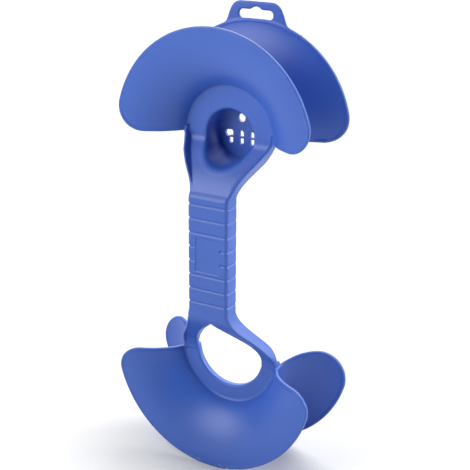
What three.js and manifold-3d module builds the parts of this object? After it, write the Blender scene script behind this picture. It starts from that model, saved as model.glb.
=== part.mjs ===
// Sock aid: one blue plastic moulding with a grip between two half-spool heads.
// Every region of the moulding is a solid of its own, so that each has a name.
// Millimetres, +Z up, the grip's front faces -Y. While it is built, the grip's centre is at zero;
// the group then moves so that the origin is the centre of the whole object's box.
import * as THREE from 'three';
import { mergeVertices } from 'three/addons/utils/BufferGeometryUtils.js';
import Module from 'manifold-3d';

const wasm = await Module();
wasm.setup();

// ---- driving dimensions ----
const GAP = 0.3;
const WALL = 2.8;
const FRONT_RIM_Y = -3.4;
const REAR_RIM_Y = 67.5;
const MID_Y = (FRONT_RIM_Y + REAR_RIM_Y) / 2;
const FLARE = 1.7;

// At the throat both flanges of a head are cut off where its front rim is. The rear one eases to its
// own cut over this much radius.
const CUT_EASE = 27;

// Each rim: its radius, how far beyond the head's centre it is cut off, and its lobes' rounding.
const UPPER = {
  z: 91.3,
  side: 1,
  throat: 37.9,
  web: { frontY: 26.5, rearY: 32 },
  front: { y: FRONT_RIM_Y, radius: 87.8, cut: -1.1, lobe: 19.8 },
  rear: { y: REAR_RIM_Y, radius: 85.6, cut: -4.9, lobe: 19.4 },
};
const LOWER = {
  z: -94.4,
  side: -1,
  throat: 43.5,
  web: { frontY: 27.5, rearY: 34.5 },
  front: { y: FRONT_RIM_Y, radius: 93.1, cut: 5, lobe: 16.8 },
  rear: { y: REAR_RIM_Y, radius: 93, cut: -4.4, lobe: 24.6 },
};

const GRIP_HALF_WIDTH = 18.3;
const GRIP_FRONT_Y = -7;
const GRIP_REAR_Y = 8.5;
const GRIP_CORNER = 2.8;
const GRIP_END_Z = 46;
const GROOVES = 8;
const GROOVE_PITCH = 11.64;
const GROOVE_WIDTH = 1.6;
const GROOVE_DEPTH = 0.7;

const NECK_TOP_Z = 85;
const NECK_WALL_RISE = 9;
const ARMS_END_Z = -90;
const ARM_WALL_RISE = 4.2;
const SIDE_WALL = 3;
const WALL_STEP = 0.1;
const SLICE_SPACING = 2.8;

const CUP = { z: 90, radius: 21.5, wall: 2.8, frontY: 17, endY: 50.2 };
const FLOOR = { frontY: 44.5, rearY: 47.6 };
const SLITS = { pitch: 9.8, rowZ: 85.2, halfWidth: 2, halfHeight: 5.4, bridge: 1.6 };
const TOP_HOLE = { x: 0, z: 101.2, radius: 3.4 };
const SIDE_HOLE = { x: 12.4, z: 87.8, radius: 2.7 };

const RING_HOLE = { radius: 31, apexZ: -59, apexHandle: [9, -69], sideHandle: [31, -80] };

const TAB = { footZ: 168, topZ: 190.3, halfWidth: 23.5, cornerRadius: 10.5, thickness: 2.6 };
const TAB_FOOT_HANDLE = { inward: 9, rise: 3 };
const TAB_SIDE_HANDLE = { outward: 3, rise: 8 };
const SLOT = { z: 180.2, length: 31, height: 7.3, bulgeRadius: 6 };

const BLUE = { color: 0x3f6fc4, roughness: 0.4, metalness: 0 };

// ---- small helpers ----
const lerp = THREE.MathUtils.lerp;
const smooth = (value, low, high) => THREE.MathUtils.smoothstep(value, low, high);

// Steps from 0 to 1 in n equal parts.
function steps(n) {
  return Array.from({ length: n + 1 }, (_, i) => i / n);
}

// A closed mesh from triangles, with its faces turned outwards.
function closedGeometry(positions, triangles) {
  const geometry = new THREE.BufferGeometry();
  geometry.setAttribute('position', new THREE.Float32BufferAttribute(positions, 3));
  let volume = 0;
  const corner = (i) => new THREE.Vector3().fromArray(positions, 3 * i);
  for (const [a, b, c] of triangles) {
    volume += corner(a).dot(corner(b).cross(corner(c)));
  }
  geometry.setIndex(triangles.flatMap(([a, b, c]) => (volume > 0 ? [a, b, c] : [a, c, b])));
  return geometry;
}

// A skin through equal outlines, each placed in space by place(point, k), with both ends capped.
function loft(outlines, place) {
  const count = outlines[0].length;
  const positions = outlines.flatMap((outline, k) => outline.flatMap((p) => place(p, k).toArray()));
  const triangles = [];
  for (let k = 0; k + 1 < outlines.length; k += 1) {
    for (let i = 0; i < count; i += 1) {
      const next = (i + 1) % count;
      const a = k * count + i;
      const b = k * count + next;
      triangles.push([a, b, b + count], [a, b + count, a + count]);
    }
  }
  const cap = (outline) => THREE.ShapeUtils.triangulateShape(outline, []);
  const clockwise = (outline) => THREE.ShapeUtils.isClockWise(outline);
  const last = (outlines.length - 1) * count;
  const ends = [
    [outlines[0], 0, !clockwise(outlines[0])],
    [outlines.at(-1), last, clockwise(outlines.at(-1))],
  ];
  for (const [outline, start, flip] of ends) {
    for (const [a, b, c] of cap(outline)) {
      triangles.push(flip ? [start + a, start + c, start + b] : [start + a, start + b, start + c]);
    }
  }
  return closedGeometry(positions, triangles);
}

// The points of an outline without repeats where two of its curves join.
function withoutRepeats(points) {
  return points.filter((p, i) => p.distanceTo(points.at(i - 1)) > 0.01);
}

// A flat plate: an outline in X and Z, from one Y to another.
function plate(outline, fromY, toY, curveSegments = 24) {
  const points = outline.extractPoints(curveSegments);
  const shape = new THREE.Shape(withoutRepeats(points.shape));
  shape.holes = points.holes.map((hole) => new THREE.Path(withoutRepeats(hole)));
  const geometry = new THREE.ExtrudeGeometry(shape, { depth: toY - fromY, bevelEnabled: false });
  geometry.rotateX(Math.PI / 2);
  geometry.translate(0, toY, 0);
  return geometry;
}

// A round bar along Y.
function bar(radius, z, fromY, toY, sides = 40, x = 0) {
  const geometry = new THREE.CylinderGeometry(radius, radius, toY - fromY, sides);
  geometry.translate(x, (fromY + toY) / 2, z);
  return geometry;
}

function toManifold(geometry) {
  const bare = geometry.clone();
  bare.deleteAttribute('normal');
  bare.deleteAttribute('uv');
  const merged = mergeVertices(bare, 1e-4);
  return new wasm.Manifold(new wasm.Mesh({
    numProp: 3,
    vertProperties: new Float32Array(merged.attributes.position.array),
    triVerts: new Uint32Array(merged.index.array),
  }));
}

function cut(geometry, ...tools) {
  let solid = toManifold(geometry);
  for (const tool of tools) {
    solid = solid.subtract(toManifold(tool));
  }
  const mesh = solid.getMesh();
  const result = new THREE.BufferGeometry();
  result.setAttribute('position', new THREE.Float32BufferAttribute(mesh.vertProperties, 3));
  result.setIndex(Array.from(mesh.triVerts));
  return result;
}

// ---- the flanges: half trumpets on the Y axis ----

// Radius and depth of a flange's surface: turn runs from 0 at the throat to a quarter circle
// at the rim.
function flarePoint(turn, throat, rim) {
  const outward = 1 - Math.cos(turn) ** (2 / FLARE);
  const depth = 1 - Math.sin(turn) ** (2 / FLARE);
  return new THREE.Vector2(lerp(throat, rim.radius, outward), lerp(rim.y, MID_Y, depth));
}

// The closed section of a flange from its throat to the radius `end`.
function flangeSection(end, throat, rim) {
  const share = Math.max(0, 1 - (end - throat) / (rim.radius - throat));
  const lastTurn = Math.acos(share ** (FLARE / 2));
  const toMiddle = Math.sign(MID_Y - rim.y);
  const surface = [];
  const back = [];
  for (const t of steps(7)) {
    const turn = lastTurn * t;
    const here = flarePoint(turn, throat, rim);
    const ahead = flarePoint(Math.min(turn + 0.01, Math.PI / 2), throat, rim);
    const behind = flarePoint(Math.max(turn - 0.01, 0), throat, rim);
    const along = t === 0 ? new THREE.Vector2(0, 1) : ahead.sub(behind).normalize();
    const across = new THREE.Vector2(Math.abs(along.y), toMiddle * Math.abs(along.x));
    if (t === 0) here.y -= toMiddle * GAP / 2;
    surface.push(here);
    back.push(here.clone().addScaledVector(across, WALL));
  }
  return [...surface, ...back.reverse()];
}

// Where the flange ends, seen along Y: round a lobe, then along half the rim.
// Each end has a radius and its share of the turn from the cut to the middle.
function flangeEnds(rim) {
  const lobeZ = rim.cut + rim.lobe;
  const lobeX = Math.sqrt((rim.radius - rim.lobe) ** 2 - lobeZ ** 2);
  const tangent = Math.atan2(lobeZ, lobeX);
  const points = [];
  for (const t of steps(6)) {
    const angle = lerp(-Math.PI / 2, tangent, t);
    points.push([lobeX + rim.lobe * Math.cos(angle), lobeZ + rim.lobe * Math.sin(angle)]);
  }
  for (const t of steps(10).slice(1)) {
    const angle = lerp(tangent, Math.PI / 2, t);
    points.push([rim.radius * Math.cos(angle), rim.radius * Math.sin(angle)]);
  }
  return points.map(([x, z]) => {
    const radius = Math.hypot(x, z);
    const atCut = Math.asin(rim.cut / radius);
    return { share: (Math.atan2(z, x) - atCut) / (Math.PI / 2 - atCut), radius, mirror: 1 };
  });
}

function flange(head, rim) {
  const half = flangeEnds(rim);
  const otherHalf = half.slice(0, -1).reverse().map((end) => ({ ...end, mirror: -1 }));
  const ends = [...half, ...otherHalf];
  const outlines = ends.map((end) => flangeSection(end.radius, head.throat, rim));
  return loft(outlines, (p, k) => {
    const cutOff = lerp(head.front.cut, rim.cut, smooth(p.x, head.throat, head.throat + CUT_EASE));
    const angle = lerp(Math.asin(cutOff / p.x), Math.PI / 2, ends[k].share);
    const x = ends[k].mirror * p.x * Math.cos(angle);
    return new THREE.Vector3(x, p.y, head.z + head.side * p.x * Math.sin(angle));
  });
}

// The upper rear flange gives way to the hang tab above the tab's foot.
function upperRearFlange() {
  const above = new THREE.BoxGeometry(200, 200, 40);
  above.translate(0, 0, TAB.footZ - GAP + 20);
  return cut(flange(UPPER, UPPER.rear), above);
}

// ---- the grip ----
function roundedRectangle(halfWidth, halfDepth, radius) {
  const points = [];
  for (const quarter of [0, 1, 2, 3]) {
    for (const t of steps(3)) {
      const angle = (quarter + t) * Math.PI / 2;
      const sx = quarter === 0 || quarter === 3 ? 1 : -1;
      const sy = quarter < 2 ? 1 : -1;
      points.push(new THREE.Vector2(
        sx * (halfWidth - radius) + radius * Math.cos(angle),
        sy * (halfDepth - radius) + radius * Math.sin(angle),
      ));
    }
  }
  return points;
}

function grip() {
  const levels = [{ z: -GRIP_END_Z, inset: 0 }];
  for (let i = 0; i < GROOVES; i += 1) {
    const z = (i - (GROOVES - 1) / 2) * GROOVE_PITCH;
    levels.push({ z: z - GROOVE_WIDTH / 2, inset: 0 });
    levels.push({ z, inset: GROOVE_DEPTH });
    levels.push({ z: z + GROOVE_WIDTH / 2, inset: 0 });
  }
  levels.push({ z: GRIP_END_Z, inset: 0 });
  const middleY = (GRIP_FRONT_Y + GRIP_REAR_Y) / 2;
  const outlines = levels.map(({ inset }) => roundedRectangle(
    GRIP_HALF_WIDTH - inset,
    GRIP_REAR_Y - middleY - inset,
    GRIP_CORNER,
  ));
  return loft(outlines, (p, k) => new THREE.Vector3(p.x, middleY + p.y, levels[k].z));
}

// ---- the neck above the grip ----

// Half the width of the neck or the arms at a height, widening from the grip to the barrel.
function widening(start, end, share) {
  const curve = new THREE.CubicBezierCurve(
    new THREE.Vector2(GRIP_HALF_WIDTH, start),
    new THREE.Vector2(GRIP_HALF_WIDTH, lerp(start, end.y, 0.42)),
    new THREE.Vector2(end.x * 0.96, lerp(start, end.y, 0.67)),
    end,
  );
  return curve.getPoint(share);
}

// How far back the front, the side walls' edges and the rear of the neck lie at a height.
// The front leaves the grip gently, is steepest half way, and eases into the web.
const NECK_GENTLE_SHARE = 0.45;
const neckRise = (z) => lerp(smooth(z, 54, 86), smooth(z, GRIP_END_Z, 94), NECK_GENTLE_SHARE);
const neckFrontY = (z) => lerp(GRIP_FRONT_Y + WALL_STEP, UPPER.web.frontY, neckRise(z));
const neckEdgeY = (z) => neckFrontY(z) - WALL_STEP - NECK_WALL_RISE * smooth(z, 54, 78);
const neckRearY = (z) => lerp(GRIP_REAR_Y, MID_Y - GAP, smooth(z, GRIP_END_Z, 80));

// Slices of the neck or an arm from the grip to where the flange begins.
function slices(start, end, barrel) {
  const found = [];
  for (const t of steps(200)) {
    const p = widening(start, barrel, t);
    const reached = Math.abs(p.y) > Math.abs(start) + GAP && Math.abs(p.y) < Math.abs(end) - GAP;
    const due = found.length === 0 || Math.abs(p.y - found.at(-1).z) > SLICE_SPACING;
    if (reached && due) found.push({ z: p.y, half: p.x });
  }
  found.push({ z: end - Math.sign(end) * GAP, half: barrel.x });
  return found;
}

// Everything in front of the neck's and the web's front surface, used to trim the cup.
function frontSpace() {
  const shape = new THREE.Shape();
  shape.moveTo(-60, 40);
  for (const t of steps(16)) {
    const z = lerp(GRIP_END_Z, NECK_TOP_Z, t);
    shape.lineTo(neckFrontY(z), z);
  }
  shape.lineTo(UPPER.web.frontY, NECK_TOP_Z + 0.5);
  shape.lineTo(UPPER.web.frontY, 140);
  shape.lineTo(-60, 140);
  const geometry = new THREE.ExtrudeGeometry(shape, { depth: 80, bevelEnabled: false });
  geometry.rotateX(Math.PI / 2);
  geometry.rotateZ(Math.PI / 2);
  geometry.translate(-40, 0, 0);
  return geometry;
}

function neck() {
  const barrel = new THREE.Vector2(UPPER.throat + WALL, UPPER.z);
  const levels = slices(GRIP_END_Z, UPPER.z + UPPER.front.cut, barrel);
  const outlines = levels.map(({ z, half }) => {
    const inside = half - SIDE_WALL;
    const section = [
      [-half, neckRearY(z)], [half, neckRearY(z)], [half, neckEdgeY(z)], [inside, neckEdgeY(z)],
      [inside, neckFrontY(z)], [-inside, neckFrontY(z)], [-inside, neckEdgeY(z)], [-half, neckEdgeY(z)],
    ];
    return section.map(([x, y]) => new THREE.Vector2(x, y));
  });
  const slab = loft(outlines, (p, k) => new THREE.Vector3(p.x, p.y, levels[k].z));
  const aboveNeck = new THREE.BoxGeometry(2 * UPPER.throat - 2, 80, 20);
  aboveNeck.translate(0, 0, NECK_TOP_Z - GAP + 10);
  return cut(
    slab,
    aboveNeck,
    bar(CUP.radius, CUP.z, -40, CUP.frontY),
    bar(CUP.radius + CUP.wall + GAP, CUP.z, CUP.frontY - GAP, 60),
  );
}

// ---- the upper web, the cup and its strainer ----
function upperWeb() {
  const radius = UPPER.throat - GAP;
  const betweenWalls = UPPER.throat - 1 - GAP;
  const shape = new THREE.Shape();
  shape.absarc(0, UPPER.z, radius, 0, Math.PI, false);
  shape.lineTo(-betweenWalls, UPPER.z);
  shape.lineTo(-betweenWalls, NECK_TOP_Z);
  shape.lineTo(betweenWalls, NECK_TOP_Z);
  shape.lineTo(betweenWalls, UPPER.z);
  const opening = bar(CUP.radius + CUP.wall + GAP, CUP.z, 0, 60);
  return cut(plate(shape, UPPER.web.frontY, UPPER.web.rearY), opening);
}

function cupWall() {
  const outside = bar(CUP.radius + CUP.wall, CUP.z, CUP.frontY, CUP.endY);
  return cut(outside, bar(CUP.radius, CUP.z, 0, 80), frontSpace());
}

// A cutter for half of a slit: straight at the bridge that splits it, round at the far end.
function halfSlit(x, direction) {
  const { rowZ, halfWidth, halfHeight, bridge } = SLITS;
  const bend = rowZ + direction * (halfHeight - halfWidth);
  const hole = new THREE.Shape();
  hole.moveTo(x - halfWidth, rowZ + direction * bridge / 2);
  hole.lineTo(x + halfWidth, rowZ + direction * bridge / 2);
  hole.absarc(x, bend, halfWidth, 0, direction * Math.PI, direction < 0);
  return plate(hole, FLOOR.frontY - 1, FLOOR.rearY + 1, 6);
}

function roundHole(x, { z, radius }) {
  return bar(radius, z, FLOOR.frontY - 1, FLOOR.rearY + 1, 16, x);
}

function strainerFloor() {
  const columns = [-SLITS.pitch, 0, SLITS.pitch];
  return cut(
    bar(CUP.radius - GAP, CUP.z, FLOOR.frontY, FLOOR.rearY),
    roundHole(TOP_HOLE.x, TOP_HOLE),
    roundHole(-SIDE_HOLE.x, SIDE_HOLE),
    roundHole(SIDE_HOLE.x, SIDE_HOLE),
    ...columns.map((x) => halfSlit(x, 1)),
    ...columns.map((x) => halfSlit(x, -1)),
  );
}

// ---- the hang tab ----
function hangTab() {
  const footX = Math.sqrt(UPPER.rear.radius ** 2 - (TAB.footZ - UPPER.z) ** 2);
  const shoulderX = TAB.halfWidth - TAB.cornerRadius;
  const shoulderZ = TAB.topZ - TAB.cornerRadius;
  const shape = new THREE.Shape();
  shape.moveTo(footX, TAB.footZ);
  const foot = [footX - TAB_FOOT_HANDLE.inward, TAB.footZ + TAB_FOOT_HANDLE.rise];
  const side = [TAB.halfWidth + TAB_SIDE_HANDLE.outward, TAB.footZ + TAB_SIDE_HANDLE.rise];
  shape.bezierCurveTo(...foot, ...side, TAB.halfWidth, shoulderZ);
  shape.absarc(shoulderX, shoulderZ, TAB.cornerRadius, 0, Math.PI / 2, false);
  shape.absarc(-shoulderX, shoulderZ, TAB.cornerRadius, Math.PI / 2, Math.PI, false);
  shape.bezierCurveTo(-side[0], side[1], -foot[0], foot[1], -footX, TAB.footZ);
  const slot = new THREE.Path();
  const end = SLOT.height / 2;
  const reachX = SLOT.length / 2 - end;
  const neckX = Math.sqrt(SLOT.bulgeRadius ** 2 - end ** 2);
  const neckAngle = Math.atan2(end, neckX);
  slot.absarc(reachX, SLOT.z, end, -Math.PI / 2, Math.PI / 2, false);
  slot.absarc(0, SLOT.z, SLOT.bulgeRadius, neckAngle, Math.PI - neckAngle, false);
  slot.absarc(-reachX, SLOT.z, end, Math.PI / 2, 1.5 * Math.PI, false);
  slot.absarc(0, SLOT.z, SLOT.bulgeRadius, Math.PI + neckAngle, 2 * Math.PI - neckAngle, false);
  shape.holes.push(slot);
  return plate(shape, REAR_RIM_Y - TAB.thickness, REAR_RIM_Y, 10);
}

// ---- the arms and the ring below the grip ----
const ARM_GENTLE_SHARE = 0.45;
const armRise = (z) => lerp(smooth(-z, 56, 90), smooth(-z, GRIP_END_Z, 98), ARM_GENTLE_SHARE);
const armFrontY = (z) => lerp(GRIP_FRONT_Y + WALL_STEP, LOWER.web.frontY, armRise(z));
const armEdgeY = (z) => armFrontY(z) - WALL_STEP - ARM_WALL_RISE * smooth(-z, 74, 90);
const armRearY = (z) => lerp(GRIP_REAR_Y, MID_Y - GAP, smooth(-z, GRIP_END_Z, 94));

// Half the width of the ring's opening: pointed at the grip, round below.
function ringHoleHalfWidth(z) {
  const curve = new THREE.CubicBezierCurve(
    new THREE.Vector2(0, RING_HOLE.apexZ),
    new THREE.Vector2(...RING_HOLE.apexHandle),
    new THREE.Vector2(...RING_HOLE.sideHandle),
    new THREE.Vector2(RING_HOLE.radius, LOWER.z),
  );
  const below = curve.getPoints(200).find((p) => p.y <= z);
  if (z > RING_HOLE.apexZ) return 0;
  return below ? below.x : RING_HOLE.radius;
}

function arm(side) {
  const barrel = new THREE.Vector2(LOWER.throat + WALL, LOWER.z);
  const levels = slices(-GRIP_END_Z, LOWER.z - LOWER.front.cut, barrel);
  const outlines = levels.map(({ z, half }) => {
    const inside = Math.max(ringHoleHalfWidth(z), GAP / 2);
    const wall = half - SIDE_WALL;
    const section = [
      [inside, armFrontY(z)], [wall, armFrontY(z)], [wall, armEdgeY(z)],
      [half, armEdgeY(z)], [half, armRearY(z)], [inside, armRearY(z)],
    ];
    return section.map(([x, y]) => new THREE.Vector2(side * x, y));
  });
  const slab = loft(outlines, (p, k) => new THREE.Vector3(p.x, p.y, levels[k].z));
  const halfWidth = Math.sqrt(LOWER.throat ** 2 - (ARMS_END_Z - LOWER.z) ** 2);
  const ringSpace = new THREE.BoxGeometry(2 * halfWidth, 80, 40);
  ringSpace.translate(0, 0, ARMS_END_Z + GAP - 20);
  return cut(slab, ringSpace);
}

function lowerRing() {
  const radius = LOWER.throat - GAP;
  const start = Math.asin((ARMS_END_Z - LOWER.z) / radius);
  const shape = new THREE.Shape();
  shape.absarc(0, LOWER.z, radius, Math.PI - start, 2 * Math.PI + start, false);
  shape.lineTo(RING_HOLE.radius, LOWER.z + radius * Math.sin(start));
  shape.lineTo(RING_HOLE.radius, LOWER.z);
  shape.absarc(0, LOWER.z, RING_HOLE.radius, 0, Math.PI, true);
  shape.lineTo(-RING_HOLE.radius, LOWER.z + radius * Math.sin(start));
  shape.closePath();
  return plate(shape, LOWER.web.frontY, LOWER.web.rearY);
}

// ---- the assembly ----
function part(name, geometry, finish) {
  const mesh = new THREE.Mesh(geometry, new THREE.MeshStandardMaterial(finish));
  mesh.name = name;
  return mesh;
}

const group = new THREE.Group();
group.add(
  part('grip', grip(), BLUE),
  part('neck', neck(), BLUE),
  part('upper_web', upperWeb(), BLUE),
  part('cup_wall', cupWall(), BLUE),
  part('strainer_floor', strainerFloor(), BLUE),
  part('upper_front_flange', flange(UPPER, UPPER.front), BLUE),
  part('upper_rear_flange', upperRearFlange(), BLUE),
  part('hang_tab', hangTab(), BLUE),
  part('left_arm', arm(-1), BLUE),
  part('right_arm', arm(1), BLUE),
  part('lower_ring', lowerRing(), BLUE),
  part('lower_front_flange', flange(LOWER, LOWER.front), BLUE),
  part('lower_rear_flange', flange(LOWER, LOWER.rear), BLUE),
);

const bottomZ = LOWER.z - LOWER.front.radius;
group.position.set(0, -(REAR_RIM_Y + GRIP_FRONT_Y) / 2, -(TAB.topZ + bottomZ) / 2);

export default group;
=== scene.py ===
"""Sock aid: one blue plastic moulding, made as a smooth solid around the CAD frame.

The moulding is a distance field in millimetres. Its origin is on the grip's middle line, 7 mm behind
the grip's front, which faces -Y; +Z is up. A surface net over a grid turns the field into meshes, which
move every vertex onto the exact surface and take their normals from the field.
"""
import math

import bpy
import numpy as np
from mathutils import Matrix, Vector


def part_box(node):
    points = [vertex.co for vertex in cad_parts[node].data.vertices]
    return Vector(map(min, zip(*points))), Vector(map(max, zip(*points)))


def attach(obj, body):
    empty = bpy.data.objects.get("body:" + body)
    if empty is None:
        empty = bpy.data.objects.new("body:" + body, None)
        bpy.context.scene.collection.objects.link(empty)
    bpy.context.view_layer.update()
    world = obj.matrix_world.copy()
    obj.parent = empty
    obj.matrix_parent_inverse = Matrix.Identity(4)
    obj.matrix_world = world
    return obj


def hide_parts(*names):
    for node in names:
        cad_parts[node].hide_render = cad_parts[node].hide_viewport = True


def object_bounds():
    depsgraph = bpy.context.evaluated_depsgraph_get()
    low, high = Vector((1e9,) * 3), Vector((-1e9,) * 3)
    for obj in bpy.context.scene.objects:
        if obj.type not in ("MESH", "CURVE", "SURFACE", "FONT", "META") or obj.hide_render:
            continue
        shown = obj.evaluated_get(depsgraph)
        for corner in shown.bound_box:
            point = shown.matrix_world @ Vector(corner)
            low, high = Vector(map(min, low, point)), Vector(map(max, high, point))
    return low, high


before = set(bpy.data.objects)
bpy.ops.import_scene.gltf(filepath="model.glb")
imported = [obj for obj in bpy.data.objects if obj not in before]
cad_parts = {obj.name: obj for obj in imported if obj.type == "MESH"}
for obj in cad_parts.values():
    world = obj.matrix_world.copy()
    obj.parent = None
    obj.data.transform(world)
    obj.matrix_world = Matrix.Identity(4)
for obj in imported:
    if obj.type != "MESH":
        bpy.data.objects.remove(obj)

CAD_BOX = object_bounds()
MM = 0.001

# ---- driving dimensions, in millimetres ----
WALL = 2.8
FRONT_RIM_Y = -3.4
REAR_RIM_Y = 67.5
MID_Y = (FRONT_RIM_Y + REAR_RIM_Y) / 2
FLARE = 1.7
LIP_WIDTH = 2.3
LIP_HEIGHT = 0.3
REAR_FACE_Y = REAR_RIM_Y - LIP_HEIGHT
REAR_LIMIT_Y = REAR_RIM_Y - 0.02

GRIP_HALF_WIDTH = 18.3
GRIP_FRONT_Y = -7.0
GRIP_REAR_Y = 8.5
GRIP_FRONT_CORNER = 2.8
GRIP_REAR_CORNER = 1.8
GRIP_END_Z = 45.0
HEAD_BLEND = 6.0
GROOVES = 8
GROOVE_PITCH = 11.64
GROOVE_HALF_WIDTH = 1.55
GROOVE_DEPTH = 0.85
GROOVE_REAR_FADE = 0.6
PATCH_HALF_WIDTH = 10.6
PATCH_HALF_HEIGHT = 14.4
PATCH_DEPTH = 0.5
PATCH_EDGE = 0.35

NECK_END_Z = 94.0
WEB_START_Z = 85.0
WEB_OVERLAP = 1.0
NECK_FOOT_Z = 58.7
NECK_FOOT_BEND = 16.0
NECK_TOP_BEND = 3.0
NECK_REAR_END_Z = 78.0
SIDE_WALL = 3.0
SIDE_EDGE = 2.6
WALL_TOP_EDGE = 2.0
FILLET = 1.0
FILLET_INSIDE = 1.2
FILLET_AT_CUT = 3.5
FILLET_CUT_REACH = 5.0
REAR_DROP = 25.0

CUP_Z = 90.0
CUP_RADIUS = 21.5
CUP_WALL = 2.8
CUP_END_Y = 50.2
CUP_DRAFT = 0.03
CUP_START_DEPTH = 2.0
CUP_END_EDGE = 1.5
CUP_MOUTH_EDGE = 2.6
CUP_FILLET = 3.0
FLOOR_FRONT_Y = 44.5
FLOOR_REAR_Y = 47.6
FLOOR_OVERLAP = 0.2
TOP_HOLE_Z = 101.2
TOP_HOLE_RADIUS = 3.4
SIDE_HOLE_X = 12.4
SIDE_HOLE_Z = 87.8
SIDE_HOLE_RADIUS = 2.7
SLIT_PITCH = 9.8
SLIT_ROW_Z = 85.2
SLIT_HALF_WIDTH = 2.0
SLIT_HALF_HEIGHT = 5.4
SLIT_HALF_BRIDGE = 0.8

TAB_FOOT_Z = 166.5
TAB_TOP_Z = 190.3
TAB_CORNER = 10.5
TAB_HALF_WIDTH = 24.0
TAB_THICKNESS = 2.6
TAB_TAPER = 0.3
TAB_TAPER_END_Z = 183.0
TAB_RIM_Z = 167.3
TAB_FOOT_FLARE = 11.0
TAB_FOOT_FADE = 2.2
SLOT_Z = 180.2
SLOT_HALF_LENGTH = 15.5
SLOT_HALF_HEIGHT = 3.65
SLOT_BULGE = 6.0
TAB_EDGE = 1.2
SLOT_EDGE = 1.0
SLOT_FILLET = 1.5

RING_HOLE_RADIUS = 31.0
RING_APEX_Z = -59.0
RING_APEX_SLOPE = 0.7
ARMS_INSET = 1.5
ARMS_FOOT_Z = -63.0
ARMS_FOOT_BEND = 8.0
ARMS_TIP_BEND = 14.0
ARMS_REAR_END_Z = -94.0
ARMS_END_Z = -99.5
RING_TOP_Z = -96.0
RING_FILLET = 2.0
RING_EDGE = 2.4

# How far the sides stand forward of the face between them, at each height.
NECK_WALL_RISE = {52: 0, 56: 0.4, 62: 2.6, 70: 6.0, 78: 7.6, 85: 6.6, 91: 4.0, 96: 1.5}
ARMS_WALL_RISE = {-104: 0, -99: 0.2, -95: 0.8, -90: 2.2, -86: 3.2, -81: 2.6, -74: 1.6, -65: 1.2, -56: 0}

GRIP_LOW, GRIP_HIGH = (Vector(corner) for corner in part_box("grip"))
CENTRE = (GRIP_LOW + GRIP_HIGH) / 2
CENTRE.y = GRIP_LOW.y - GRIP_FRONT_Y * MM


# ---- field helpers ----
def smooth_min(a, b, k):
    """The smaller of two fields, with a fillet about k wide where they meet."""
    h = np.clip(0.5 + 0.5 * (b - a) / k, 0.0, 1.0)
    return b + (a - b) * h - k * h * (1.0 - h)


def smooth_max(a, b, k):
    """The larger of two fields, with an edge rounded by about k where they meet."""
    return -smooth_min(-a, -b, k)


def smoothstep(value, low, high):
    """Rises smoothly from 0 at low to 1 at high."""
    t = np.clip((value - low) / (high - low), 0.0, 1.0)
    return t * t * (3.0 - 2.0 * t)


def bezier(points, count=200):
    """Points along a cubic curve."""
    t = np.linspace(0.0, 1.0, count)[:, None]
    a, b, c, d = (np.array(p, float) for p in points)
    return (1 - t) ** 3 * a + 3 * (1 - t) ** 2 * t * b + 3 * (1 - t) * t * t * c + t ** 3 * d


def rounded(a, b, corner):
    """The field of a corner of this radius between two edges, whose centre a and b are measured from."""
    return np.hypot(np.maximum(a, 0), np.maximum(b, 0)) + np.minimum(np.maximum(a, b), 0) - corner


class Along:
    """A value that depends on the height only, with the cosine of its slope."""

    def __init__(self, heights, values):
        order = np.argsort(heights)
        self.z = np.asarray(heights, float)[order]
        self.value = np.asarray(values, float)[order]
        self.cosine = 1.0 / np.hypot(1.0, np.gradient(self.value, self.z))

    def at(self, z):
        return np.interp(z, self.z, self.value)

    def cosine_at(self, z):
        return np.interp(z, self.z, self.cosine)


def outline(points):
    """A cubic curve's half width at each height."""
    curve = bezier(points)
    return Along(curve[:, 1], curve[:, 0])


class Rim:
    """A flange's outline, seen along Y: part of a disc, cut off straight, with rounded lobes."""

    def __init__(self, y, radius, cut, lobe):
        self.y, self.radius, self.cut, self.lobe = y, radius, cut, lobe

    def distance(self, across, up):
        """How far outside the outline a point lies, and below zero inside it."""
        inner = self.radius - self.lobe
        floor = self.cut + self.lobe
        corner = math.sqrt(inner ** 2 - floor ** 2)
        radius = np.hypot(across, up)
        over_arc = up * corner >= floor * across
        past_corner = np.hypot(np.maximum(across - corner, 0.0), up - floor)
        outside = np.where(over_arc, radius - inner, past_corner)
        inside = np.maximum(radius - inner, floor - up)
        is_inside = (radius < inner) & (up > floor)
        return np.where(is_inside, inside, outside) - self.lobe


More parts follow.
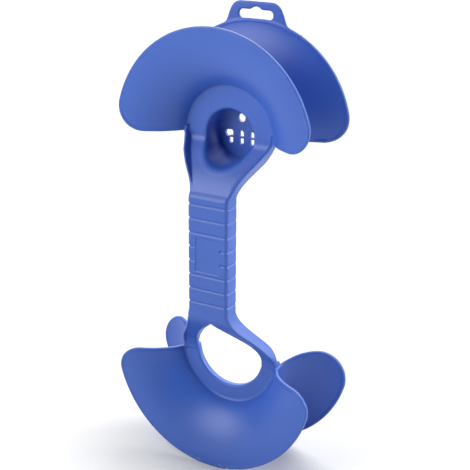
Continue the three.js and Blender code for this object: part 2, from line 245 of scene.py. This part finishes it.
class Head:
    """A half spool: a barrel that flares into a front and a rear flange."""

    STEP = 0.75

    def __init__(self, z, side, throat, web, front, rear):
        self.z, self.side, self.throat, self.front, self.rear = z, side, throat, front, rear
        self.web_front, self.web_rear = web
        self.outer = throat + WALL
        path = self.middle_of_wall()
        self.radii = np.arange(throat - 25.0, max(front.radius, rear.radius) + 8.0, self.STEP)
        self.depths = np.arange(FRONT_RIM_Y - 12.0, REAR_RIM_Y + 12.0, self.STEP)
        grid = np.stack(np.meshgrid(self.radii, self.depths, indexing="ij"), -1).reshape(-1, 1, 2)
        self.table = np.empty(len(grid))
        for start in range(0, len(grid), 2000):
            gap = grid[start:start + 2000] - path[None]
            self.table[start:start + 2000] = np.sqrt((gap ** 2).sum(-1).min(-1))
        self.table = self.table.reshape(len(self.radii), len(self.depths))

    def middle_of_wall(self):
        """Points along the wall's middle, from the front rim through the throat to the rear rim."""
        turn = np.linspace(0.0, math.pi / 2, 500)
        outward = 1.0 - np.cos(turn) ** (2.0 / FLARE)
        depth = 1.0 - np.sin(turn) ** (2.0 / FLARE)
        halves = []
        for rim in (self.front, self.rear):
            radius = self.throat + (rim.radius - self.throat) * outward
            halves.append(np.stack([radius, rim.y + (MID_Y - rim.y) * depth], -1))
        face = np.concatenate([halves[0][::-1], halves[1][1:]])
        tangent = np.gradient(face, axis=0)
        tangent /= np.linalg.norm(tangent, axis=1)[:, None]
        middle = face + WALL / 2 * np.stack([tangent[:, 1], -tangent[:, 0]], -1)
        run = np.linspace(0.2, 14.0, 60)[:, None] * np.array([[1.0, 0.0]])
        return np.concatenate([middle[0] + run[::-1], middle, middle[-1] + run])

    def wall_distance(self, radius, y):
        """The distance from the wall's middle, from the table."""
        i = np.clip((radius - self.radii[0]) / self.STEP, 0, len(self.radii) - 1.001)
        j = np.clip((y - self.depths[0]) / self.STEP, 0, len(self.depths) - 1.001)
        i, j = np.broadcast_arrays(i, j)
        i0, j0 = i.astype(int), j.astype(int)
        u, v = i - i0, j - j0
        low = self.table[i0, j0] * (1 - v) + self.table[i0, j0 + 1] * v
        high = self.table[i0 + 1, j0] * (1 - v) + self.table[i0 + 1, j0 + 1] * v
        return low * (1 - u) + high * u

    def up(self, z):
        """How far a height lies beyond the head's centre, away from the grip."""
        return self.side * (z - self.z)

    def flanges(self, x, y, z):
        """Both flanges and the barrel between them: the wall, trimmed to its rims, with a raised lip."""
        across, up = np.abs(x), self.up(z)
        rear = smoothstep(y, MID_Y - 2.0, MID_Y + 30.0)
        edge = self.front.distance(across, up) * (1 - rear) + self.rear.distance(across, up) * rear
        half = WALL / 2 + LIP_HEIGHT * smoothstep(edge, -LIP_WIDTH - 0.3, -LIP_WIDTH + 0.3)
        beyond = np.maximum(edge + half, 0.0)
        return (self.wall_distance(np.hypot(x, up), y) ** 4 + beyond ** 4) ** 0.25 - half

    def web(self, x, y, z):
        """The flat plate across the barrel."""
        plate = np.maximum(self.web_front - y, y - self.web_rear)
        return np.maximum(plate, np.hypot(x, self.up(z)) - self.throat - WEB_OVERLAP)


# The heads' sizes: each centre's height, which way it faces, its barrel's radius, the depths of the web's
# faces, and its two rims.
UPPER = Head(
    z=91.3, side=1, throat=37.9, web=(26.5, 32.0),
    front=Rim(FRONT_RIM_Y, radius=87.8, cut=-1.1, lobe=19.8),
    rear=Rim(REAR_FACE_Y, radius=85.6, cut=-4.9, lobe=19.4),
)
LOWER = Head(
    z=-94.4, side=-1, throat=43.5, web=(27.5, 34.5),
    front=Rim(FRONT_RIM_Y, radius=93.1, cut=5.0, lobe=16.8),
    rear=Rim(REAR_FACE_Y, radius=93.0, cut=-4.4, lobe=24.6),
)


# ---- the grip ----
def grip_bar(x, y):
    """The grip without its grooves: a bar with rounded long edges."""
    middle = (GRIP_FRONT_Y + GRIP_REAR_Y) / 2
    corner = np.where(y < middle, GRIP_FRONT_CORNER, GRIP_REAR_CORNER)
    a = np.abs(x) - GRIP_HALF_WIDTH + corner
    b = np.abs(y - middle) - (GRIP_REAR_Y - middle) + corner
    return rounded(a, b, corner)


def from_grip(x, y, z, solid):
    """A head's solid, turned into the grip's bar where the grip ends."""
    bar = grip_bar(x, y)
    return bar + (solid - bar) * smoothstep(np.abs(z), GRIP_END_Z, GRIP_END_Z + HEAD_BLEND)


def grip(x, y, z):
    """The grip's bar with grooves all round, which stop beside the sunk patch on its front."""
    first = -(GROOVES - 1) / 2 * GROOVE_PITCH
    index = np.clip(np.round((z - first) / GROOVE_PITCH), 0, GROOVES - 1)
    away = (z - first - index * GROOVE_PITCH) / GROOVE_HALF_WIDTH
    groove = GROOVE_DEPTH * (1.0 - smoothstep(np.abs(away), 0.0, 1.0))
    groove = groove * (1.0 - GROOVE_REAR_FADE * smoothstep(y, GRIP_REAR_Y - 4.0, GRIP_REAR_Y - 1.0))
    on_front = smoothstep(-y, 3.0, 4.0)
    beside = np.maximum(np.abs(x) - PATCH_HALF_WIDTH, np.abs(z) - PATCH_HALF_HEIGHT)
    patch = on_front * (1 - smoothstep(beside, -PATCH_EDGE, PATCH_EDGE))
    margin = on_front * (1 - smoothstep(beside, 0.6, 0.9))
    return grip_bar(x, y) + groove * (1 - margin) + PATCH_DEPTH * patch


# ---- the neck and the upper head ----
def half_width(z, head, reach, side):
    """The half width at each height: a curve from the grip out to the head, then an arc round the head."""
    past = head.up(z)
    arc = np.sqrt(reach ** 2 - np.clip(past, 0, 20) ** 2)
    return np.where(past < 0, outline(side).at(z), arc)


def neck_shape():
    """The neck's half width, and the depths of its front, its rear and its side walls' edges, by height."""
    z = np.linspace(44.0, 96.0, 400)
    side = [(GRIP_HALF_WIDTH, 45), (GRIP_HALF_WIDTH, 62), (38.8, 75.5), (UPPER.outer, UPPER.z)]
    half = half_width(z, UPPER, UPPER.outer, side)
    ramp = smooth_max(GRIP_FRONT_Y, z - NECK_FOOT_Z, NECK_FOOT_BEND)
    front = smooth_min(ramp, UPPER.web_front, NECK_TOP_BEND)
    behind = GRIP_REAR_Y + REAR_DROP * smoothstep(z, GRIP_END_Z, NECK_REAR_END_Z)
    rear = smooth_min(behind, UPPER.web_rear - 0.5, 2.0)
    rise = np.interp(z, list(NECK_WALL_RISE), list(NECK_WALL_RISE.values()))
    return [Along(z, values) for values in (half, front, rear, front - rise)]


NECK_HALF, NECK_FRONT, NECK_REAR, NECK_EDGE = neck_shape()


def walled_slab(x, y, z, half, front, rear, edge):
    """A slab whose front lies at one depth and whose side walls stand forward of it."""
    across = np.abs(x)
    at_wall = smoothstep(across - half.at(z), -SIDE_WALL - 0.9, -SIDE_WALL + 0.5)
    face = front.at(z) * (1 - at_wall) + edge.at(z) * at_wall
    faces = smooth_max((face - y) * front.cosine_at(z), (y - rear.at(z)) * rear.cosine_at(z), WALL_TOP_EDGE)
    return smooth_max(faces, (across - half.at(z)) * half.cosine_at(z), SIDE_EDGE)


def fillet(head, x, z):
    """The fillet inside the barrel, wider where the flanges are cut off, and none outside it."""
    up = head.up(z)
    inside = smoothstep(head.outer - np.hypot(x, up), 0.3, 2.6)
    return FILLET + inside * (FILLET_INSIDE + FILLET_AT_CUT * np.exp(-(up / FILLET_CUT_REACH) ** 2))


def hang_tab(x, y, z):
    """A flat plate with round corners and a bulged slot, which widens down to the rim."""
    foot = TAB_FOOT_FLARE * np.exp(-np.clip(z - TAB_RIM_Z, 0, None) / TAB_FOOT_FADE)
    half = TAB_HALF_WIDTH + np.maximum(TAB_TAPER * (TAB_TAPER_END_Z - z) + foot, 0.0)
    a = np.abs(x) - (half - TAB_CORNER)
    b = z - (TAB_TOP_Z - TAB_CORNER)
    edge = np.maximum(rounded(a, b, TAB_CORNER), TAB_FOOT_Z - z)
    slot = np.hypot(np.maximum(np.abs(x) - SLOT_HALF_LENGTH + SLOT_HALF_HEIGHT, 0), z - SLOT_Z)
    slot = smooth_min(slot - SLOT_HALF_HEIGHT, np.hypot(x, z - SLOT_Z) - SLOT_BULGE, SLOT_FILLET)
    middle = REAR_FACE_Y - TAB_THICKNESS / 2
    plate = smooth_max(np.abs(y - middle) - TAB_THICKNESS / 2, edge, TAB_EDGE)
    return smooth_max(plate, -slot, SLOT_EDGE)


def upper_head(x, y, z):
    """The neck, the web, the flanges, the cup and the hang tab in one."""
    solid = walled_slab(x, y, z, NECK_HALF, NECK_FRONT, NECK_REAR, NECK_EDGE)
    solid = np.maximum(solid, z - NECK_END_Z)
    web = np.maximum(UPPER.web(x, y, z), WEB_START_Z - z)
    solid = np.minimum(solid, web)
    solid = smooth_min(solid, UPPER.flanges(x, y, z), fillet(UPPER, x, z))
    from_axis = np.hypot(x, z - CUP_Z)
    cup = smooth_max(from_axis - CUP_RADIUS - CUP_WALL, y - CUP_END_Y, CUP_END_EDGE)
    cup = np.maximum(cup, NECK_FRONT.at(z) + CUP_START_DEPTH - y)
    solid = smooth_min(solid, cup, CUP_FILLET)
    hollow = from_axis - CUP_RADIUS + CUP_DRAFT * (y - UPPER.web_front)
    solid = smooth_max(solid, -hollow, CUP_MOUTH_EDGE)
    solid = smooth_min(solid, hang_tab(x, y, z), 4 * LIP_HEIGHT)
    solid = np.maximum(solid, y - REAR_LIMIT_Y)
    return from_grip(x, y, z, solid)


def strainer_floor(x, y, z):
    """The cup's floor, with a hole at the top, one at each side and a row of three split slits."""
    disc = np.hypot(x, z - CUP_Z) - CUP_RADIUS - FLOOR_OVERLAP
    disc = smooth_max(disc, np.maximum(FLOOR_FRONT_Y - y, y - FLOOR_REAR_Y), 0.4)
    holes = np.minimum(
        np.hypot(x, z - TOP_HOLE_Z) - TOP_HOLE_RADIUS,
        np.hypot(np.abs(x) - SIDE_HOLE_X, z - SIDE_HOLE_Z) - SIDE_HOLE_RADIUS,
    )
    from_row = np.abs(z - SLIT_ROW_Z)
    for column in (-SLIT_PITCH, 0.0, SLIT_PITCH):
        straight = SLIT_HALF_HEIGHT - SLIT_HALF_WIDTH
        slit = np.hypot(x - column, np.maximum(from_row - straight, 0)) - SLIT_HALF_WIDTH
        holes = np.minimum(holes, smooth_max(slit, SLIT_HALF_BRIDGE - from_row, 0.3))
    return smooth_max(disc, -holes, 0.5)


# ---- the arms and the lower head ----
def arms_shape():
    """The same four for the two arms and the space between them."""
    z = np.linspace(-110.0, -44.0, 400)
    reach = LOWER.outer - ARMS_INSET
    side = [(GRIP_HALF_WIDTH, -45), (GRIP_HALF_WIDTH, -66), (43.5, -79), (reach, LOWER.z)]
    half = half_width(z, LOWER, reach, side)
    ramp = smooth_max(GRIP_FRONT_Y, ARMS_FOOT_Z - z, ARMS_FOOT_BEND)
    front = smooth_min(ramp, LOWER.web_front, ARMS_TIP_BEND)
    behind = GRIP_REAR_Y + REAR_DROP * smoothstep(-z, GRIP_END_Z, -ARMS_REAR_END_Z)
    rear = smooth_min(behind, MID_Y - 1.0, 3.0)
    rise = np.interp(z, list(ARMS_WALL_RISE), list(ARMS_WALL_RISE.values()))
    return [Along(z, values) for values in (half, front, rear, front - rise)]


ARMS_HALF, ARMS_FRONT, ARMS_REAR, ARMS_EDGE = arms_shape()


def ring_hole(x, z):
    """The opening between the arms: pointed above and round below."""
    reach = RING_HOLE_RADIUS
    pointed = outline([(0, RING_APEX_Z), (9, -69), (reach, -80), (reach, LOWER.z)])
    below = np.hypot(x, z - LOWER.z) - reach
    above = (np.abs(x) - pointed.at(z)) * pointed.cosine_at(z)
    above = np.maximum(above, (z - RING_APEX_Z) * RING_APEX_SLOPE)
    return np.where(z < LOWER.z, below, above)


def lower_head(x, y, z):
    """The arms, the ring and the flanges in one, with the ring's opening cut through."""
    solid = walled_slab(x, y, z, ARMS_HALF, ARMS_FRONT, ARMS_REAR, ARMS_EDGE)
    solid = np.maximum(solid, ARMS_END_Z - z)
    web = np.maximum(LOWER.web(x, y, z), z - RING_TOP_Z)
    solid = smooth_min(solid, web, RING_FILLET)
    solid = smooth_min(solid, LOWER.flanges(x, y, z), fillet(LOWER, x, z))
    solid = smooth_max(solid, -ring_hole(x, z), RING_EDGE)
    solid = np.maximum(solid, y - REAR_LIMIT_Y)
    return from_grip(x, y, z, solid)


# ---- surface nets ----
def gradient(field, p, h=0.05):
    """The field's slope at each point."""
    columns = []
    for axis in range(3):
        step = np.zeros(3)
        step[axis] = h
        columns.append(field(*(p + step).T) - field(*(p - step).T))
    return np.stack(columns, -1) / (2 * h)


def edge_crossings(values, axes, axis):
    """The grid edges along one axis that cross the surface: low end, crossing, and if it leaves there."""
    low = tuple(slice(0, -1) if k == axis else slice(None) for k in range(3))
    high = tuple(slice(1, None) if k == axis else slice(None) for k in range(3))
    where = np.argwhere((values[low] < 0) != (values[high] < 0))
    a = values[low][tuple(where.T)]
    b = values[high][tuple(where.T)]
    point = np.stack([axes[k][where[:, k]] for k in range(3)], -1)
    length = axes[axis][where[:, axis] + 1] - axes[axis][where[:, axis]]
    point[:, axis] += a / (a - b) * length
    return where, point, a < 0


def cells_around(where, axis, cells):
    """The four cells round each grid edge, in order, and which of them are in the grid."""
    u, v = (axis + 1) % 3, (axis + 2) % 3
    corners, valid = [], []
    for du, dv in ((-1, -1), (0, -1), (0, 0), (-1, 0)):
        cell = where.copy()
        cell[:, u] += du
        cell[:, v] += dv
        valid.append(((cell >= 0) & (cell < cells)).all(1))
        corners.append(np.ravel_multi_index(tuple(np.clip(cell, 0, np.array(cells) - 1).T), cells))
    return np.stack(corners, -1), np.stack(valid, -1)


def cell_net(values, axes):
    """A vertex in each crossed cell, at the mean of its crossings, and a quad round each crossed edge."""
    cells = tuple(n - 1 for n in values.shape)
    count = np.zeros(math.prod(cells))
    total = np.zeros((len(count), 3))
    quads = []
    for axis in range(3):
        where, point, leaves = edge_crossings(values, axes, axis)
        corners, valid = cells_around(where, axis, cells)
        for index, good in zip(corners.T, valid.T):
            count += np.bincount(index[good], minlength=len(count))
            for k in range(3):
                total[:, k] += np.bincount(index[good], point[good, k], minlength=len(count))
        complete = valid.all(1)
        loops = corners[complete]
        enters = ~leaves[complete]
        loops[enters] = loops[enters][:, ::-1]
        quads.append(loops)
    used = np.flatnonzero(count)
    number = np.full(len(count), -1)
    number[used] = np.arange(len(used))
    return total[used] / count[used, None], number[np.concatenate(quads)]


SETTLING_STEPS = 4
LONGEST_MOVE = 0.4
LEAST_SLOPE = 0.05


def settle(field, vertices, on_seam):
    """Moves the vertices onto the surface. Those on a seam keep their height."""
    for _ in range(SETTLING_STEPS):
        slope = gradient(field, vertices)
        slope[on_seam, 2] = 0
        move = slope * (field(*vertices.T) / np.maximum((slope ** 2).sum(1), LEAST_SLOPE))[:, None]
        length = np.linalg.norm(move, axis=1)
        vertices -= move * np.minimum(1.0, LONGEST_MOVE / np.maximum(length, 1e-9))[:, None]


def surface_net(field, xs, ys, zs, seam=None):
    """The field's surface on a grid: vertices, quads and normals. At a seam's height it stays open."""
    values = field(xs[:, None, None], ys[None, :, None], zs[None, None, :])
    vertices, quads = cell_net(values, (xs, ys, zs))
    on_seam = np.zeros(len(vertices), bool)
    if seam is not None:
        on_seam = np.abs(vertices[:, 2] - seam) < 0.51 * min(zs[1] - zs[0], zs[-1] - zs[-2])
        vertices[on_seam, 2] = seam
    settle(field, vertices, on_seam)
    normals = gradient(field, vertices)
    normals /= np.maximum(np.linalg.norm(normals, axis=1), 1e-9)[:, None]
    return vertices, quads, normals


def grid(low, high, step):
    """Evenly spaced places from low to high, about a step apart."""
    return np.linspace(low, high, int(round((high - low) / step)) + 1)


def moulded(name, net, material, *nodes):
    """A mesh piece from a surface net, which stands for the CAD nodes of the same place."""
    vertices, quads, normals = net
    mesh = bpy.data.meshes.new(name)
    mesh.from_pydata((vertices * MM + np.array(CENTRE)).tolist(), [], quads.tolist())
    mesh.validate()
    mesh.shade_smooth()
    mesh.normals_split_custom_set_from_vertices(normals.tolist())
    mesh.materials.append(material)
    piece = bpy.data.objects.new(name, mesh)
    bpy.context.scene.collection.objects.link(piece)
    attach(piece, "root")
    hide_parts(*nodes)
    return piece


# ---- material ----
def blue_plastic():
    material = bpy.data.materials.new("blue_plastic")
    material.use_nodes = True
    nodes, links = material.node_tree.nodes, material.node_tree.links
    shader = nodes["Principled BSDF"]
    shader.inputs["IOR"].default_value = 1.49
    place = nodes.new("ShaderNodeTexCoord")

    cloud = nodes.new("ShaderNodeTexNoise")
    cloud.inputs["Scale"].default_value = 22.0
    cloud.inputs["Detail"].default_value = 3.0
    links.new(place.outputs["Object"], cloud.inputs["Vector"])
    tint = nodes.new("ShaderNodeValToRGB")
    tint.color_ramp.elements[0].position = 0.3
    tint.color_ramp.elements[0].color = (0.034, 0.101, 0.430, 1)
    tint.color_ramp.elements[1].position = 0.7
    tint.color_ramp.elements[1].color = (0.038, 0.109, 0.460, 1)
    links.new(cloud.outputs["Fac"], tint.inputs["Fac"])
    links.new(tint.outputs["Color"], shader.inputs["Base Color"])

    rough = nodes.new("ShaderNodeMapRange")
    rough.inputs["To Min"].default_value = 0.36
    rough.inputs["To Max"].default_value = 0.44
    links.new(cloud.outputs["Fac"], rough.inputs["Value"])
    links.new(rough.outputs["Result"], shader.inputs["Roughness"])

    grain = nodes.new("ShaderNodeTexNoise")
    grain.inputs["Scale"].default_value = 1800.0
    grain.inputs["Detail"].default_value = 2.0
    links.new(place.outputs["Object"], grain.inputs["Vector"])
    bump = nodes.new("ShaderNodeBump")
    bump.inputs["Strength"].default_value = 0.06
    bump.inputs["Distance"].default_value = 0.0002
    links.new(grain.outputs["Fac"], bump.inputs["Height"])
    links.new(bump.outputs["Normal"], shader.inputs["Normal"])
    return material


def pale_floor():
    material = bpy.data.materials.new("pale_floor")
    material.use_nodes = True
    shader = material.node_tree.nodes["Principled BSDF"]
    shader.inputs["Base Color"].default_value = (0.68, 0.68, 0.68, 1)
    shader.inputs["Roughness"].default_value = 0.8
    return material


# ---- the pieces ----
HEAD_STEP = 1.0
GRIP_STEP = 0.5
STRAINER_STEP = 0.45
LAYER = 0.5 * HEAD_STEP
PLASTIC = blue_plastic()

moulded(
    "upper_head",
    surface_net(upper_head, grid(-90, 90, HEAD_STEP), grid(-9, 68, HEAD_STEP),
                grid(GRIP_END_Z - LAYER, 192.5 - LAYER, HEAD_STEP), seam=GRIP_END_Z),
    PLASTIC,
    "neck", "upper_web", "cup_wall", "upper_front_flange", "upper_rear_flange", "hang_tab",
)
moulded(
    "strainer",
    surface_net(strainer_floor, grid(-23, 23, STRAINER_STEP), grid(43, 51, STRAINER_STEP),
                grid(67, 113, STRAINER_STEP)),
    PLASTIC,
    "strainer_floor",
)
moulded(
    "grooved_grip",
    surface_net(grip, grid(-19, 19, GRIP_STEP), grid(-8.5, 8.5, GRIP_STEP),
                grid(-GRIP_END_Z - 0.2, GRIP_END_Z + 0.2, 0.4)),
    PLASTIC,
    "grip",
)
moulded(
    "lower_head",
    surface_net(lower_head, grid(-95, 95, HEAD_STEP), grid(-9, 68, HEAD_STEP),
                grid(-190.5 + LAYER, -GRIP_END_Z + LAYER, HEAD_STEP), seam=-GRIP_END_Z),
    PLASTIC,
    "left_arm", "right_arm", "lower_ring", "lower_front_flange", "lower_rear_flange",
)


# ---- floor, light and camera ----
FLOOR_REACH = 12.0


def floor():
    mesh = bpy.data.meshes.new("floor")
    signs = ((-1, -1), (1, -1), (1, 1), (-1, 1))
    corners = [(u * FLOOR_REACH, v * FLOOR_REACH, CAD_BOX[0][2]) for u, v in signs]
    mesh.from_pydata(corners, [], [(0, 1, 2, 3)])
    mesh.materials.append(pale_floor())
    plane = bpy.data.objects.new("floor", mesh)
    bpy.context.scene.collection.objects.link(plane)


# Wide soft lights round the object: where each one stands, seen from the object, and its strength.
SOFTBOXES = {
    "left_key": ((-0.50, -0.60, 0.62), 1.0),
    "left_low": ((-0.53, -0.82, 0.21), 0.5),
    "right_low": ((0.82, 0.50, 0.21), 2.1),
    "right_high": ((0.60, 0.48, 0.62), 2.1),
    "back_high": ((-0.02, 0.65, 0.75), 2.2),
    "back_left": ((-0.62, 0.65, 0.35), 1.5),
}
SOFTBOX_ANGLE = math.radians(50)

NEAR_LIGHT_PLACE = Vector((-0.36, -0.5, 0.40))
NEAR_LIGHT_AIM = Vector((0.0, 0.0, 0.11))
NEAR_LIGHT_SIZE = 0.5
NEAR_LIGHT_POWER = 2.5


def near_light():
    """A square lamp close to the upper head, so that the light falls off downwards."""
    light = bpy.data.lights.new("near_key", "AREA")
    light.size = NEAR_LIGHT_SIZE
    light.energy = NEAR_LIGHT_POWER
    lamp = bpy.data.objects.new("near_key", light)
    lamp.location = NEAR_LIGHT_PLACE
    lamp.rotation_euler = (NEAR_LIGHT_AIM - NEAR_LIGHT_PLACE).to_track_quat("-Z", "Y").to_euler()
    bpy.context.scene.collection.objects.link(lamp)


def studio():
    world = bpy.data.worlds.new("studio")
    world.use_nodes = True
    world.node_tree.nodes["Background"].inputs["Color"].default_value = (1, 1, 1, 1)
    world.node_tree.nodes["Background"].inputs["Strength"].default_value = 0.02
    bpy.context.scene.world = world
    for name, (direction, strength) in SOFTBOXES.items():
        light = bpy.data.lights.new(name, "SUN")
        light.energy = strength
        light.angle = SOFTBOX_ANGLE
        lamp = bpy.data.objects.new(name, light)
        lamp.rotation_euler = (-Vector(direction)).to_track_quat("-Z", "Y").to_euler()
        bpy.context.scene.collection.objects.link(lamp)
    near_light()


CAMERA_AZIMUTH = math.radians(30.923)
CAMERA_ELEVATION = math.radians(18.860)
CAMERA_ROLL = math.radians(-0.448)
CAMERA_PLACE = Vector((452.84, -720.22, 306.59))
CAMERA_LENS = 87.65
CAMERA_SENSOR = 36.0


def camera():
    sin_a, cos_a = math.sin(CAMERA_AZIMUTH), math.cos(CAMERA_AZIMUTH)
    sin_e, cos_e = math.sin(CAMERA_ELEVATION), math.cos(CAMERA_ELEVATION)
    right = Vector((cos_a, sin_a, 0))
    back = Vector((sin_a * cos_e, -cos_a * cos_e, sin_e))
    up = back.cross(right)
    turned_right = right * math.cos(CAMERA_ROLL) - up * math.sin(CAMERA_ROLL)
    turned_up = right * math.sin(CAMERA_ROLL) + up * math.cos(CAMERA_ROLL)
    data = bpy.data.cameras.new("camera")
    data.lens = CAMERA_LENS
    data.sensor_width = CAMERA_SENSOR
    viewer = bpy.data.objects.new("camera", data)
    turn = Matrix((turned_right, turned_up, back)).transposed().to_4x4()
    viewer.matrix_world = Matrix.Translation(CAMERA_PLACE * MM + CENTRE) @ turn
    bpy.context.scene.collection.objects.link(viewer)
    bpy.context.scene.camera = viewer


floor()
studio()
camera()
bpy.context.scene.view_settings.view_transform = "Standard"
